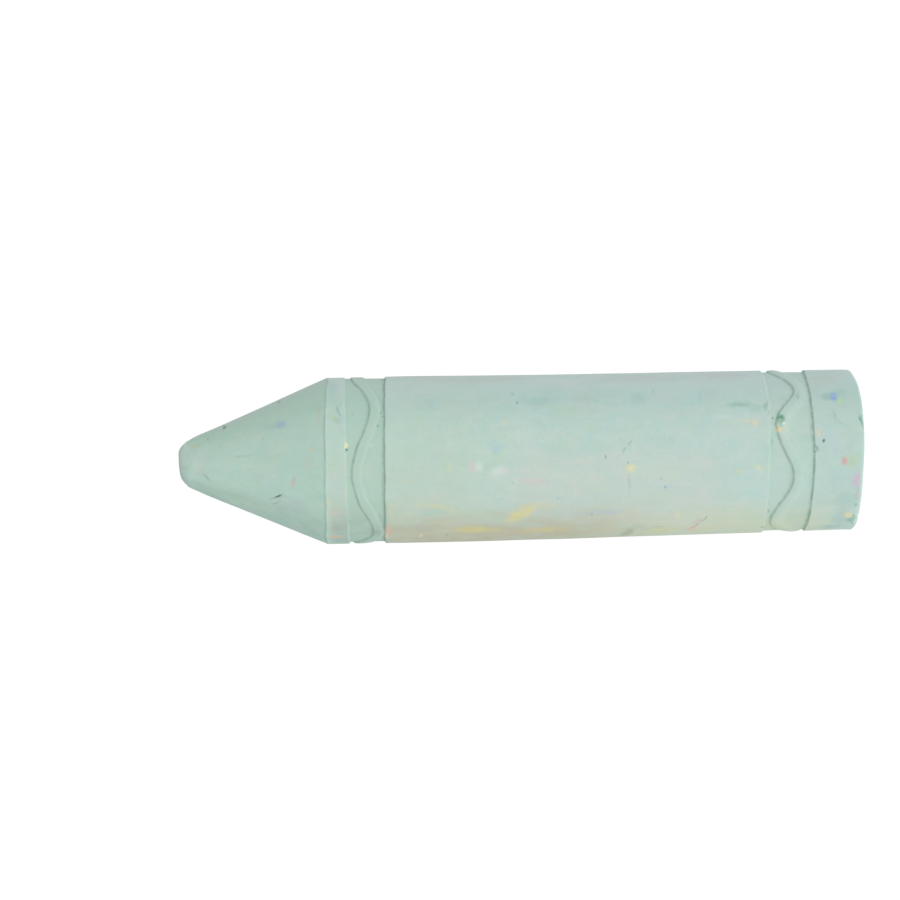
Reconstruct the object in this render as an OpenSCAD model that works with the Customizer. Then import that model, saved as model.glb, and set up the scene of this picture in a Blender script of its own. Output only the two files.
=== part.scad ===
// Jumbo sidewalk chalk stick, cast in one piece in a crayon shape.
// It stands on its flat butt face: the origin is the centre of that
// face and +Z runs up the stick's axis, through the tip.
// The mould gives a slightly drafted barrel, a cone with a blunt nose,
// and a shallow sunken band near each end with a wavy raised line in it.

/* [Stick] */
// Length from the butt face to the end of the nose
stick_len = 104; // [95:0.5:125]
// Diameter at the shoulder, where the cone starts
shoulder_d = 25.7; // [22:0.1:30]
// Diameter at the butt, smaller than the shoulder by the mould's draft
butt_d = 24.8; // [21:0.1:29]
// Radius of the rounding along the butt edge
butt_edge_r = 0.8; // [0.3:0.1:1.5]

/* [Nose] */
// Length of the cone with its nose
cone_len = 23; // [20:0.5:28]
// Half angle of the cone
cone_half_angle = 22.8; // [18:0.1:23]
// Rounding between the cone and the blunt end of the nose
nose_r = 2; // [1:0.1:2.5]

/* [Tip band] */
// Width of the plain collar between the shoulder and the tip band
tip_collar_w = 2.8; // [1.5:0.1:5]
// Width of the sunken band at the tip end
tip_band_w = 5.9; // [5.5:0.1:8]

/* [Butt band] */
// Width of the plain collar at the butt
butt_collar_w = 7.7; // [5:0.1:12]
// Width of the sunken band at the butt end
butt_band_w = 6.7; // [5.5:0.1:8]

/* [Relief] */
// Depth of the sunken bands
band_depth = 0.32; // [0.2:0.02:0.5]
// Length over which each side wall of a band slopes
wall_run = 0.3; // [0.1:0.05:0.5]
// Swing of a wavy line to each side of its centre
wave_swing = 1.55; // [0.8:0.05:2]
// Width of a wavy line across its foot
wave_w = 1.9; // [1.2:0.1:2.4]
// How far the crest of a wavy line stays under the barrel
crest_drop = 0.04; // [0.03:0.01:0.1]

/* [Wear] */
// Size of the chip broken from the butt edge
chip_r = 1.6; // [1:0.1:2.5]
// Depth of that chip
chip_depth = 0.6; // [0.3:0.1:0.9]

/* [Hidden] */
$fn = 96;

shoulder_r = shoulder_d / 2;
butt_r = butt_d / 2;
shoulder_z = stick_len - cone_len;

// Heights of the band walls
butt_band_lo = butt_collar_w;
butt_band_hi = butt_collar_w + butt_band_w;
tip_band_hi = shoulder_z - tip_collar_w;
tip_band_lo = tip_band_hi - tip_band_w;

// Turning points of each wavy line for one turn of the stick: the angle
// round it in degrees, and the swing there, + towards the tip. Angle 0
// faces -Y and 90 faces +X. The line was cut by hand, so no two swings
// are quite alike.
tip_turns = [[-96, 1], [-61, -1.15], [-10, 0.8], [37, -1.05], [84, 0.8],
             [131, -1], [175, 1], [219, -1.05], [264, 1]];
butt_turns = [[-59, 1.2], [-18, -0.82], [19, 0.78], [48, -1.25], [86, 0.85],
              [122, -1], [158, 1.05], [193, -1], [229, 0.95],
              [265, -1], [301, 1.2]];
// Rings swept between two turning points
per_half = 12;

// Barrel radius at a height, with the mould's draft
function barrel_r(z) = butt_r + (shoulder_r - butt_r) * z / shoulder_z;

// Cone line, and the place of the nose rounding that touches it
function cone_r(z) = shoulder_r - (z - shoulder_z) * tan(cone_half_angle);
nose_cz = stick_len - nose_r;
nose_tz = nose_cz + nose_r * sin(cone_half_angle);
nose_cr = cone_r(nose_tz) - nose_r * cos(cone_half_angle);

// Half section of the stick, from the butt face's centre to the nose's
function half_section() = concat(
    [[0, 0]],
    [for (a = [-90 : 15 : 0])
        [butt_r - butt_edge_r + butt_edge_r * cos(a),
         butt_edge_r + butt_edge_r * sin(a)]],
    [[barrel_r(butt_band_lo), butt_band_lo],
     [barrel_r(butt_band_lo) - band_depth, butt_band_lo + wall_run],
     [barrel_r(butt_band_hi) - band_depth, butt_band_hi - wall_run],
     [barrel_r(butt_band_hi), butt_band_hi],
     [barrel_r(tip_band_lo), tip_band_lo],
     [barrel_r(tip_band_lo) - band_depth, tip_band_lo + wall_run],
     [barrel_r(tip_band_hi) - band_depth, tip_band_hi - wall_run],
     [barrel_r(tip_band_hi), tip_band_hi],
     [barrel_r(shoulder_z - 0.3), shoulder_z - 0.3],
     [cone_r(shoulder_z + 0.3), shoulder_z + 0.3]],
    [for (i = [0 : 6])
        let (a = cone_half_angle + (90 - cone_half_angle) * i / 6)
        [nose_cr + nose_r * cos(a), nose_cz + nose_r * sin(a)]],
    [[0, stick_len]]
);

// One ring of a wavy line: five points across it, from its buried foot
// on the butt side over the crest to its buried foot on the tip side.
// The slope widens the ring so that the line keeps its true width.
function wave_ring(angle, z, slope) =
    let (
        w = wave_w / 2 * sqrt(1 + slope * slope),
        floor_r = barrel_r(z) - band_depth,
        top_r = barrel_r(z) - crest_drop,
        h = top_r - floor_r,
        az = angle - 90
    )
    [for (p = [[-w, floor_r - 0.35], [-0.56 * w, floor_r + 0.74 * h],
               [0, top_r], [0.56 * w, floor_r + 0.74 * h],
               [w, floor_r - 0.35]])
        [p[1] * cos(az), p[1] * sin(az), z + p[0]]];

// All points of a wavy line, in equal steps between its turning points
function wave_points(mid_z, turns) =
    [for (i = [0 : len(turns) - 2]) for (k = [0 : per_half - 1])
        let (
            from = turns[i],
            to = turns[i + 1],
            span = to[0] - from[0],
            mean = (from[1] + to[1]) / 2,
            half = (from[1] - to[1]) / 2,
            u = 180 * k / per_half,
            z = mid_z + wave_swing * (mean + half * cos(u)),
            run = barrel_r(mid_z) * span * PI / 180,
            slope = wave_swing * half * PI * sin(u) / run
        )
        each wave_ring(from[0] + span * k / per_half, z, slope)];

// Raised wavy line that runs once round the stick
module wavy_line(mid_z, turns) {
    rings = (len(turns) - 1) * per_half;
    polyhedron(
        points = wave_points(mid_z, turns),
        faces = [for (i = [0 : rings - 1]) for (j = [0 : 4])
            let (
                a = i * 5 + j,
                b = i * 5 + (j + 1) % 5,
                c = ((i + 1) % rings) * 5 + (j + 1) % 5,
                d = ((i + 1) % rings) * 5 + j
            )
            each [[a, b, c], [a, c, d]]],
        convexity = 6
    );
}

// Solid cast chalk: barrel, cone and nose, with both wavy lines and the
// chip at the butt edge
module chalk_stick() {
    color([0.74, 0.83, 0.79])
    difference() {
        union() {
            rotate_extrude() polygon(half_section());
            wavy_line((tip_band_lo + tip_band_hi) / 2, tip_turns);
            wavy_line((butt_band_lo + butt_band_hi) / 2 + 0.2, butt_turns);
        }
        rotate([0, 0, -62 - 90])
            translate([butt_r + chip_r * 0.7 - chip_depth, 0,
                       -chip_r * 0.7 + chip_depth])
                sphere(r = chip_r);
    }
}

chalk_stick();
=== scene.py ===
import math

import bpy
import numpy as np
from mathutils import Matrix, Vector


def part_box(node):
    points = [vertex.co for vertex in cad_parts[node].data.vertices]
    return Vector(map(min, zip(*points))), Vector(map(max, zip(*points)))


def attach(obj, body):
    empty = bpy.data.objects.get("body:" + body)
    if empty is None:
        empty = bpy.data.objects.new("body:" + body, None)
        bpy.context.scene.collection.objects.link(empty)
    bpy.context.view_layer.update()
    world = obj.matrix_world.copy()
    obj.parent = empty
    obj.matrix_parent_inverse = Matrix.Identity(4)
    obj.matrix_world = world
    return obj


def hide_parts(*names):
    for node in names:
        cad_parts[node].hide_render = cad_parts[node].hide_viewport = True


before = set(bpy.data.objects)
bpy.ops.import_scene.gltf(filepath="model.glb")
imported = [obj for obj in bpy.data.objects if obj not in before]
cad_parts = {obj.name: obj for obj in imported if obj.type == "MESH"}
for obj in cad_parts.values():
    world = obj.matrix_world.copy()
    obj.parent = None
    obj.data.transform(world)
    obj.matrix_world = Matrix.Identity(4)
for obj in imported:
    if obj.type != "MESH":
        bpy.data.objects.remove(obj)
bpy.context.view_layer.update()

NODE = "chalk_stick"
lo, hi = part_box(NODE)
LENGTH = (hi[2] - lo[2]) * 1000.0
WIDEST = (hi[0] - lo[0]) * 500.0
rng = np.random.default_rng(841)


def srgb(r, g, b):
    """Linear colour of an 8-bit sRGB one."""
    out = []
    for v in (r, g, b):
        v /= 255.0
        out.append(v / 12.92 if v <= 0.04045 else ((v + 0.055) / 1.055) ** 2.4)
    return (*out, 1.0)


def smooth(t):
    t = np.clip(t, 0.0, 1.0)
    return t * t * (3.0 - 2.0 * t)


def soft_min(a, b, k):
    h = np.clip(0.5 + 0.5 * (b - a) / k, 0.0, 1.0)
    return b * (1.0 - h) + a * h - k * h * (1.0 - h)


# ---------------------------------------------------------------- camera
# The stick lies across the picture, nose to the left, so the camera looks
# along +Y and is rolled a quarter turn. It is a long lens at half a metre.
ROLL = math.radians(1.31)
cam_data = bpy.data.cameras.new("camera")
cam_data.sensor_width = 36.0
cam_data.lens = 136.5
cam_data.clip_start, cam_data.clip_end = 0.01, 20.0
cam = bpy.data.objects.new("camera", cam_data)
bpy.context.scene.collection.objects.link(cam)
eye = Vector((1.34, -525.0, 70.62)) / 1000.0
aim = Vector((1.34, 0.0, 62.32)) / 1000.0
back = (eye - aim).normalized()
up = Vector((math.cos(ROLL), 0.0, -math.sin(ROLL)))
up = (up - up.dot(back) * back).normalized()
right = up.cross(back)
cam.matrix_world = Matrix(
    (
        (right.x, up.x, back.x, eye.x),
        (right.y, up.y, back.y, eye.y),
        (right.z, up.z, back.z, eye.z),
        (0.0, 0.0, 0.0, 1.0),
    )
)
bpy.context.scene.camera = cam

# ----------------------------------------------------------------- shape
SHOULDER_Z = 81.0
CONE = math.radians(22.8)
NOSE_R = 2.0
EDGE_R = 0.8
RUN = 0.30  # length of a band's side wall
DEPTH = 0.32  # depth of a band
SWING = 1.55
RIDGE = 0.92  # half width of a wavy line at its foot

# Turning points of the wavy lines: degrees round the stick, swing
TIP_TURNS = [(-96, 1), (-61, -1.15), (-10, 0.8), (37, -1.05), (84, 0.8),
             (131, -1), (175, 1), (219, -1.05), (264, 1)]
BUTT_TURNS = [(-59, 1.2), (-18, -0.82), (19, 0.78), (48, -1.25), (86, 0.85),
              (122, -1), (158, 1.05), (193, -1), (229, 0.95),
              (265, -1), (301, 1.2)]
TIP_MID, BUTT_MID = 75.28, 11.25

N = 384
phi = np.arange(N) * (2.0 * math.pi / N)
deg = np.degrees(phi)
deg = np.where(deg > 180.0, deg - 360.0, deg)
sin_phi, cos_phi = np.sin(phi), np.cos(phi)


def barrel(z):
    """Barrel radius: the mould's draft, a worn butt collar and a slightly proud middle."""
    z = np.asarray(z, float)
    line = 12.4 + 0.45 * z / SHOULDER_Z
    fit = np.interp(z, [0, 7, 14, 30, 60, 72, 78, 81],
                    [-0.09, -0.07, -0.01, 0.0, 0.02, 0.03, 0.0, -0.01])
    return np.minimum(line + fit, WIDEST - 0.004)


def wobble(rng, n, longest, shortest, amount):
    """A smooth line round the stick that closes on itself, about amount high."""
    out = np.zeros(N)
    for _ in range(n):
        turns = round(80.0 / math.exp(rng.uniform(math.log(shortest), math.log(longest))))
        out += np.cos(max(turns, 1) * phi + rng.uniform(0, 2 * math.pi))
    return out * amount / math.sqrt(n / 2.0)


def ring(points):
    """A line round the stick through points of (degrees, height), rounded off a little."""
    a, v = np.array(points, float).T
    out = np.interp(deg, a, v, period=360.0)
    span = (np.arange(N) + N // 2) % N - N // 2
    blur = np.exp(-((span * 360.0 / N / 7.0) ** 2))
    return np.real(np.fft.ifft(np.fft.fft(out) * np.fft.fft(blur / blur.sum())))


def wavy(turns, mid):
    """Height of a wavy line at every column, and its half width along the stick."""
    a = np.array([t[0] for t in turns], float)
    s = np.array([t[1] for t in turns], float)
    d = (np.degrees(phi) - a[0]) % 360.0 + a[0]
    i = np.clip(np.searchsorted(a, d, side="right") - 1, 0, len(a) - 2)
    span = a[i + 1] - a[i]
    u = math.pi * (d - a[i]) / span
    mean, half = (s[i] + s[i + 1]) / 2, (s[i] - s[i + 1]) / 2
    slope = SWING * half * np.sin(u) * math.pi / (np.radians(span) * 12.6)
    return mid + SWING * (mean + half * np.cos(u)), np.sqrt(1 + slope * slope)


def ridge_profile(t, slack):
    """Height of a wavy line across it, 1 at the crest and 0 at the foot. Its side towards the butt runs out slack times as far."""
    t = np.where(t < -0.62, -0.62 + (t + 0.62) / slack, t)
    t = np.abs(t)
    return np.where(t < 0.62, 1.0 - 0.16 * (t / 0.62) ** 2, 0.84 * smooth((1.04 - t) / 0.42))


class Band:
    """A sunken band between two heights, with a wavy line in it."""

    def __init__(self, low, high, turns, mid, width, slack, seed):
        r = np.random.default_rng(seed)
        self.low = ring(low) + wobble(r, 5, 12, 4, 0.02) + wobble(r, 5, 3, 1.2, 0.006)
        self.high = ring(high) + wobble(r, 5, 12, 4, 0.02) + wobble(r, 5, 3, 1.2, 0.006)
        self.mid, stretch = wavy(turns, mid)
        self.mid = self.mid + wobble(r, 5, 10, 4, 0.03) + wobble(r, 4, 3, 1.2, 0.008)
        self.half = RIDGE * width * stretch * (1 + wobble(r, 5, 16, 4, 0.05))
        self.slack = slack
        self.depth = DEPTH * (1 + wobble(r, 4, 40, 12, 0.05))
        self.crest = 0.005 + np.abs(wobble(r, 5, 30, 6, 0.02))

    def rows(self):
        """Heights of the grid's rows, column by column. They follow the walls and the wavy line, so no edge is jagged."""
        wall = np.array([-0.22, -0.08, 0.0, 0.06, 0.13, 0.20, 0.26, 0.34])
        a = [self.low + w for w in wall]
        b = [self.high - w for w in wall]
        across = np.array([-1.12, -1.02, -0.94, -0.86, -0.78, -0.70, -0.62, -0.50, -0.25, 0.0])
        far_side = np.where(across < -0.62, -0.62 + (across + 0.62) * self.slack, across)
        across = np.concatenate([far_side, -across[:-1][::-1]])
        c = [self.mid + t * self.half for t in across]
        foot, head = self.low + 0.40, self.high - 0.40
        lowest, highest = c[0], c[-1]
        d = [foot + (np.maximum(lowest, foot) - foot) * f for f in (0.15, 0.5, 0.85)]
        e = [head - (head - np.minimum(highest, head)) * f for f in (0.15, 0.5, 0.85)]
        c = [np.clip(v, self.low - 0.2, self.high + 0.2) for v in c]
        z = np.sort(np.array(a + b + c + d + e), axis=0)
        for k in range(1, len(z)):
            z[k] = np.maximum(z[k], z[k - 1] + 0.012)
        return z

    def sunk(self, z):
        """Depth below the barrel at heights z."""
        walls = np.minimum(smooth((z - self.low) / RUN), smooth((self.high - z) / RUN)) * self.depth
        t = (z - self.mid) / self.half
        line = self.depth - (self.depth - self.crest) * ridge_profile(t, self.slack)
        return soft_min(walls, line, 0.05)

    def marks(self, z):
        """How far a point is in a corner at the foot of a wall that faces the tip, where shade is painted, and how far
        on an exposed edge, rubbed paler and with a painted highlight on the walls that face the butt.
        """
        t = (z - self.mid) / self.half
        foot = np.exp(-(((z - self.low) - 0.75 * RUN) / 0.17) ** 2)
        foot = foot + 0.15 * np.exp(-(((self.high - z) - 1.2 * RUN) / 0.16) ** 2)
        side = 0.9 * np.exp(-((t - 0.95) * self.half / 0.17) ** 2)
        side = side + (0.9 / self.slack ** 2) * 0.6 * np.exp(-((t + 0.95) * self.half / 0.20) ** 2)
        inside = (z > self.low) & (z < self.high)
        painted_corner_shade = np.clip(foot + side * inside, 0, 1)
        edge = 0.5 * np.exp(-((z - self.low) / 0.14) ** 2) + np.exp(-((self.high - z - 0.08) / 0.16) ** 2)
        crest = 0.5 * np.exp(-((np.abs(t) - 0.55) * self.half / 0.18) ** 2) * inside
        return painted_corner_shade, np.clip(edge + crest, 0, 1), inside.astype(float)


butt_band = Band(
    [(-120, 7.95), (-73, 8.13), (-60, 7.97), (-42, 7.8), (-13, 7.55), (0, 7.45), (45, 7.57),
     (60, 7.75), (80, 7.64), (130, 7.5), (180, 7.7)],
    [(-120, 14.6), (-80, 14.8), (-19, 14.68), (33, 14.12), (69, 14.42), (120, 14.3), (180, 14.4)],
    BUTT_TURNS, BUTT_MID, 1.0, 2.4, 11)
butt_band.crest -= 0.05
tip_band = Band(
    [(-120, 72.4), (-80, 72.47), (0, 72.24), (80, 71.9), (130, 72.0), (180, 72.2)],
    [(-80, 78.15), (0, 78.27), (80, 78.45), (130, 78.4), (180, 78.3)],
    TIP_TURNS, TIP_MID, 1.04, 1.3, 23)

# The shoulder line is not quite square to the stick, and has a jog on the +X side
shoulder = ring([(-80, 81.55), (0, 81.25), (46, 81.1), (55, 80.8), (80, 80.75), (105, 81.0), (180, 81.3)])
shoulder = shoulder + wobble(rng, 5, 14, 4, 0.04)

rows = []  # (kind, heights, radii), from the butt's centre to the nose's


def add(kind, z, r):
    rows.append((kind, np.broadcast_to(z, (N,)).astype(float).copy(), np.broadcast_to(r, (N,)).astype(float).copy()))


edge = EDGE_R * ring([(-90, 1.1), (-35, 0.8), (-5, 0.6), (10, 0.4), (36, 0.4), (55, 0.8), (90, 1.1), (180, 1.0)])
edge = edge * (1 + wobble(rng, 5, 20, 6, 0.08))
# The butt's rim is rubbed away unevenly
worn_rim = ring([(-75, 0.40), (-55, 0.42), (-35, 0.36), (-14, 0.24), (2, 0.06), (12, 0.0), (36, 0.0),
                 (48, 0.05), (60, 0.16), (75, 0.30), (110, 0.20), (150, 0.10), (-165, 0.30), (-115, 0.22)])
rim = barrel(EDGE_R)
for r in (0.9, 2.0, 3.3, 4.6, 5.9, 7.2, 8.4, 9.5, 10.4, 11.1):
    add("face", 0.0, r)
for k in range(9):
    a = math.radians(-90 + 90 * k / 8)
    add("rim", edge * (1 + math.sin(a)), rim - edge + edge * math.cos(a))

band_rows = butt_band.rows()
start = rows[-1][1]
for f in np.linspace(0, 1, 12)[1:-1]:
    z = start + (band_rows[0] - start) * f
    add("collar", z, barrel(z))
for z in band_rows:
    add("butt_band", z, barrel(z) - butt_band.sunk(z))
last = band_rows[-1]
band_rows = tip_band.rows()
for f in np.linspace(0, 1, 82)[1:-1]:
    z = last + (band_rows[0] - last) * f
    add("body", z, barrel(z))
for z in band_rows:
    add("tip_band", z, barrel(z) - tip_band.sunk(z))
last = band_rows[-1]
for f in np.linspace(0, 1, 8)[1:]:
    z = last + (shoulder - 0.16 - last) * f
    add("collar", z, barrel(z))


def cone(z):
    """Cone radius: it starts a hair under the collar, so a fine step runs round the shoulder."""
    return barrel(SHOULDER_Z) - 0.07 - (z - shoulder) * math.tan(CONE) - 0.08 * smooth((z - 83.0) / 10.0)


for f in (-0.08, 0.0, 0.06, 0.12, 0.2, 0.32, 0.5):
    z = shoulder + f
    step = smooth((f + 0.10) / 0.22)
    crown = barrel(z) - 0.02 * step
    add("shoulder", z, np.minimum(crown * (1 - step) + cone(z) * step, crown))
nose_cz = LENGTH - NOSE_R
nose_tz = nose_cz + NOSE_R * math.sin(CONE)
last = rows[-1][1]
for f in np.linspace(0, 1, 34)[1:]:
    z = last + (nose_tz - last) * f
    add("cone", z, cone(z))
nose_cr = float(cone(nose_tz).mean()) - NOSE_R * math.cos(CONE)
for k in range(1, 11):
    a = CONE + (math.pi / 2 - CONE) * k / 10
    add("nose", nose_cz + NOSE_R * math.sin(a), nose_cr + NOSE_R * math.cos(a))
for f in (0.78, 0.5, 0.22):
    add("nose", LENGTH, nose_cr * f)

kind = [r[0] for r in rows]
Z = np.array([r[1] for r in rows])
R = np.array([r[2] for r in rows])
base_Z, base_R = Z.copy(), R.copy()

# Fine unevenness of the cast surface
P = np.stack([R * sin_phi, -R * cos_phi, Z], axis=-1)


def lumps(rng, n, longest, shortest, stretch=1.0):
    """Smooth random lumps through space, about 1 high."""
    out = np.zeros(Z.shape)
    for _ in range(n):
        k = rng.normal(size=3)
        k /= np.linalg.norm(k)
        k[2] /= stretch
        wave = math.exp(rng.uniform(math.log(shortest), math.log(longest)))
        out += np.cos((P @ k) * (2 * math.pi / wave) + rng.uniform(0, 2 * math.pi))
    return out / math.sqrt(n / 2.0)


inner = np.array([k not in ("face",) for k in kind])[:, None]
R = R + inner * (0.012 * lumps(rng, 14, 40, 14) + 0.007 * lumps(rng, 20, 9, 3.0, 1.6))
near_nose = smooth((Z - 96.0) / 7.0)
R = R + near_nose * 0.03 * lumps(rng, 14, 6, 2.5)

# Chips, nicks, crumbs and dents: degrees round, height, half size round the
# stick, half size along it, turn of the mark, depth (negative for a crumb)
DENTS = [
    (66.5, 96.82, 0.34, 0.30, 0, 0.20),
    (76.0, 97.02, 0.45, 0.35, 0, -0.13),
    (50.5, 99.41, 0.16, 0.34, 20, 0.10),
    (-34.2, 88.79, 0.22, 1.05, 36, 0.16),
    (-31.5, 88.2, 0.30, 0.45, 36, 0.10),
    (36.0, 79.32, 0.55, 0.16, 25, 0.10),
    (24.5, 12.37, 0.62, 0.34, -12, 0.26),
    (19.0, 12.02, 0.36, 0.24, 0, -0.10),
    (15.5, 12.81, 0.40, 0.22, 0, -0.05),
    (1.2, 7.38, 0.34, 0.22, 30, 0.16),
    (8.0, 78.03, 0.15, 0.15, 0, 0.16),
    (6.7, 6.2, 0.17, 0.15, 0, 0.20),
    (24.8, 73.29, 0.24, 0.20, 0, 0.10),
    (36.0, 72.69, 0.34, 0.16, 0, 0.10),
    (28.0, 72.64, 0.30, 0.16, 0, 0.06),
    (22.6, 0.55, 0.62, 0.30, 0, 0.22),
    (-8.0, 0.5, 0.9, 0.22, 0, 0.08),
    (52.0, 0.6, 1.2, 0.30, 0, 0.10),
    (-71.0, 14.66, 0.30, 0.24, 0, 0.08),
    (-49.0, 14.26, 0.30, 0.16, 0, 0.06),
    (35.0, 14.51, 0.28, 0.30, 0, 0.08),
    (118.0, 0.6, 1.5, 0.45, 0, 0.20),
    (163.0, 7.58, 0.7, 0.30, 10, 0.16),
    (-128.0, 14.36, 0.5, 0.35, -20, 0.18),
    (-151.0, 78.17, 0.8, 0.30, 8, 0.15),
    (140.0, 72.49, 0.5, 0.30, 0, 0.14),
    (-163.0, 81.07, 0.9, 0.40, 0, 0.14),
    (104.0, 86.55, 0.30, 1.4, -28, 0.12),
    (-142.0, 92.53, 0.40, 0.50, 0, 0.14),
    (152.0, 46.17, 0.40, 1.6, 24, 0.10),
    (-116.0, 33.7, 0.35, 1.2, -38, 0.09),
]
around = np.radians(((deg[None, :] + 180) % 360) - 180)
for at, height, wide, long, turn, deep in DENTS:
    d = np.radians((np.degrees(around) - at + 180) % 360 - 180) * R
    v = Z - height
    c, s = math.cos(math.radians(turn)), math.sin(math.radians(turn))
    q = ((d * c + v * s) / wide) ** 2 + ((v * c - d * s) / long) ** 2
    R = R - inner * deep * np.exp(-(q ** 1.3))

X, Y = R * sin_phi, -R * cos_phi

# The cast stick is bowed by a hair
X = X + np.interp(Z, [0, 14, 36, 60, 70, 80, 104], [0.04, 0.02, -0.06, -0.04, 0.02, 0.16, 0.18]) * (Z > 0.9)

# The nose: its blunt end leans to +X and is worn at a slight slant
lean = np.clip((Z - 96.0) / 8.0, 0, 1) ** 2
X = X + 0.26 * lean
end = smooth((Z - 101.6) / 2.2)
slant = 0.045 * (1.9 - X) + 0.02 * (1.5 + Y)
Z = np.minimum(Z - end * np.clip(slant, 0.0, 0.5), LENGTH - 0.002)
bevel = LENGTH - 0.36 * np.clip(X - 1.6, 0.0, None) ** 2 - 0.22 * np.clip(-1.6 - X, 0.0, None) ** 2
Z = np.where(Z > 100.5, soft_min(Z, bevel, 0.15), Z)

# The butt: struck off flat, a touch hollow, with the marks of bubbles
face = np.array([k == "face" for k in kind])[:, None]
hollow = 0.05 * (1 - smooth(base_R / 11.0)) + 0.02 * (1 + 0.5 * lumps(rng, 16, 8, 3))
Z = np.where(face, np.clip(hollow, 0.0, 0.2), Z)
Z = Z + worn_rim * smooth((base_R - 8.5) / 3.8) * smooth((4.5 - base_Z) / 4.0)

# Larger chips are cut with a ball, as a break leaves a shell-shaped hollow
CHIPS = [
    (-60.5, 12.85, -0.55, 1.75, 0.07),
    (-66.5, 12.75, -0.35, 1.05, 0.05),
    (22.4, 12.75, -0.30, 0.62, 0.03),
    (141.0, 12.95, -0.75, 1.6, 0.06),
    (-138.0, 12.85, -0.55, 1.15, 0.05),
]
rough = lumps(rng, 24, 1.6, 0.7)
for at, cr, cz, ball, grain in CHIPS:
    a = math.radians(at)
    centre = np.array([cr * math.sin(a), -cr * math.cos(a), cz])
    V = np.stack([X, Y, Z], axis=-1) - centre
    dist = np.linalg.norm(V, axis=-1)
    want = ball + grain * rough
    push = np.where(dist < want, want / np.maximum(dist, 1e-6), 1.0)
    V = V * push[..., None] + centre
    X, Y, Z = V[..., 0], V[..., 1], V[..., 2]
Z = np.clip(Z, 0.0, LENGTH - 0.001)
span = np.maximum(np.hypot(X, Y) / (WIDEST - 0.002), 1.0)
X, Y = X / span, Y / span

# ------------------------------------------------------------------ mesh
M = len(rows)
verts = np.empty((M * N + 2, 3))
verts[: M * N] = np.stack([X, Y, Z], axis=-1).reshape(-1, 3)
verts[M * N] = (0.0, 0.0, float(Z[0].mean()))
verts[M * N + 1] = (float(X[-1].mean()), float(Y[-1].mean()), float(Z[-1].mean()))
faces = []
for i in range(M - 1):
    for j in range(N):
        k = (j + 1) % N
        faces.append((i * N + j, i * N + k, (i + 1) * N + k, (i + 1) * N + j))
for j in range(N):
    k = (j + 1) % N
    faces.append((M * N, k, j))
    faces.append((M * N + 1, (M - 1) * N + j, (M - 1) * N + k))

mesh = bpy.data.meshes.new("chalk_cast")
mesh.from_pydata((verts / 1000.0).tolist(), [], faces)
mesh.update()
mesh.polygons.foreach_set("use_smooth", np.ones(len(mesh.polygons), bool))

# A map for baking: the side is unrolled, and the butt's face is a disc in
# the strip beside it
SCALE = 1.0 / 113.5
step = np.hypot(np.diff(base_R, axis=0), np.diff(base_Z, axis=0))
along = np.vstack([np.zeros((1, N)), np.cumsum(np.maximum(step, 0.01), axis=0)])
first_side = kind.index("rim")
along = along - along[first_side].mean()
uv = np.zeros((len(mesh.loops), 2))
loop = 0
disc = np.array([0.745 + 13.0 * SCALE, 0.02 + 13.0 * SCALE])


def on_side(i, j):
    return ((0.6 + 2 * math.pi * 12.85 * j / N) * SCALE, (0.6 + along[i, j % N]) * SCALE)


def on_disc(r, j):
    a = 2 * math.pi * j / N
    return (disc[0] + r * math.sin(a) * SCALE, disc[1] - r * math.cos(a) * SCALE)


for i in range(M - 1):
    for j in range(N):
        corners = ((i, j), (i, j + 1), (i + 1, j + 1), (i + 1, j))
        for a, b in corners:
            uv[loop] = on_disc(base_R[a, b % N], b) if i < first_side else on_side(a, b)
            loop += 1
top_row = along[-1].mean() + nose_cr * 0.22
for j in range(N):
    uv[loop], uv[loop + 1], uv[loop + 2] = disc, on_disc(base_R[0, 0], j + 1), on_disc(base_R[0, 0], j)
    uv[loop + 3] = ((0.6 + 2 * math.pi * 12.85 * (j + 0.5) / N) * SCALE, (0.6 + top_row) * SCALE)
    uv[loop + 4], uv[loop + 5] = on_side(M - 1, j), on_side(M - 1, j + 1)
    loop += 6
layer = mesh.uv_layers.new(name="OFBake")
layer.data.foreach_set("uv", uv.ravel())

# Wear and painted light for the material: red is painted shade in the corners at the foot of walls that face the tip,
# green an exposed edge, rubbed paler and with a painted highlight on the walls that face the butt, blue the floor and
# sides of a band
wear_and_shade = np.zeros((M * N + 2, 4))
wear_and_shade[:, 3] = 1.0
for i, name in enumerate(kind):
    z = base_Z[i]
    s = slice(i * N, (i + 1) * N)
    if name in ("butt_band", "tip_band"):
        band = butt_band if name == "butt_band" else tip_band
        wear_and_shade[s, 0], wear_and_shade[s, 1], wear_and_shade[s, 2] = band.marks(z)
    elif name == "rim":
        wear_and_shade[s, 1] = np.exp(-((np.degrees(np.arctan2(edge - z, base_R[i] - rim + edge)) - 45) / 28) ** 2)
    elif name in ("shoulder", "cone", "collar"):
        # painted shade at the foot of the shoulder's step, and a rubbed edge on the collar's top
        wear_and_shade[s, 0] = 0.6 * np.exp(-((z - shoulder - 0.14) / 0.16) ** 2)
        wear_and_shade[s, 1] = np.exp(-((z - shoulder + 0.16) / 0.16) ** 2)
attr = mesh.attributes.new("wear_and_shade", "FLOAT_COLOR", "POINT")
attr.data.foreach_set("color", wear_and_shade.ravel())

chalk = bpy.data.objects.new("chalk_cast", mesh)
bpy.context.scene.collection.objects.link(chalk)


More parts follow.
